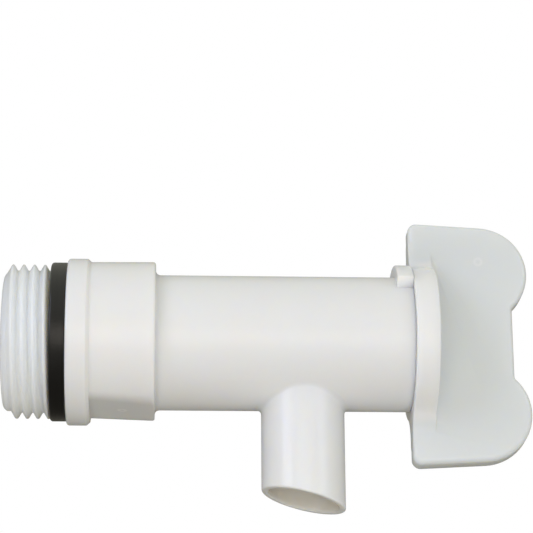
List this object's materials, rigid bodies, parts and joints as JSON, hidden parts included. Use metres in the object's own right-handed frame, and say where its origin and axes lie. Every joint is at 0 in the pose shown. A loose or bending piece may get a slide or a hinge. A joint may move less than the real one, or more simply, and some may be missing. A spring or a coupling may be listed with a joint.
{
  "type": "jerrycan tap",
  "caption": "Plastic water tap for a jerrycan, with a threaded inlet, rubber washer, down-pointing spout and butterfly handle moulded in one with a hollow turning plug.",
  "frame": {"origin": "where the tap's axis meets the flange's sealing face", "axes": "+X along the tap's axis from the inlet to the handle, -Z the way the spout points, Y across"},
  "size_m": [0.0902, 0.0286, 0.051],
  "materials": {
    "natural_plastic": "satin",
    "black_rubber": "matte"
  },
  "bodies": {
    "body": {"tap_body": "natural_plastic", "inlet_washer": "black_rubber"},
    "handle": {"plug_handle": "natural_plastic"}
  },
  "joints": [
    {"name": "handle_turn", "type": "hinge", "parent": "body", "child": "handle", "pos_m": [0.0588, 0, 0], "axis": [-1, 0, 0], "range_deg": [0, 180]}
  ]
}
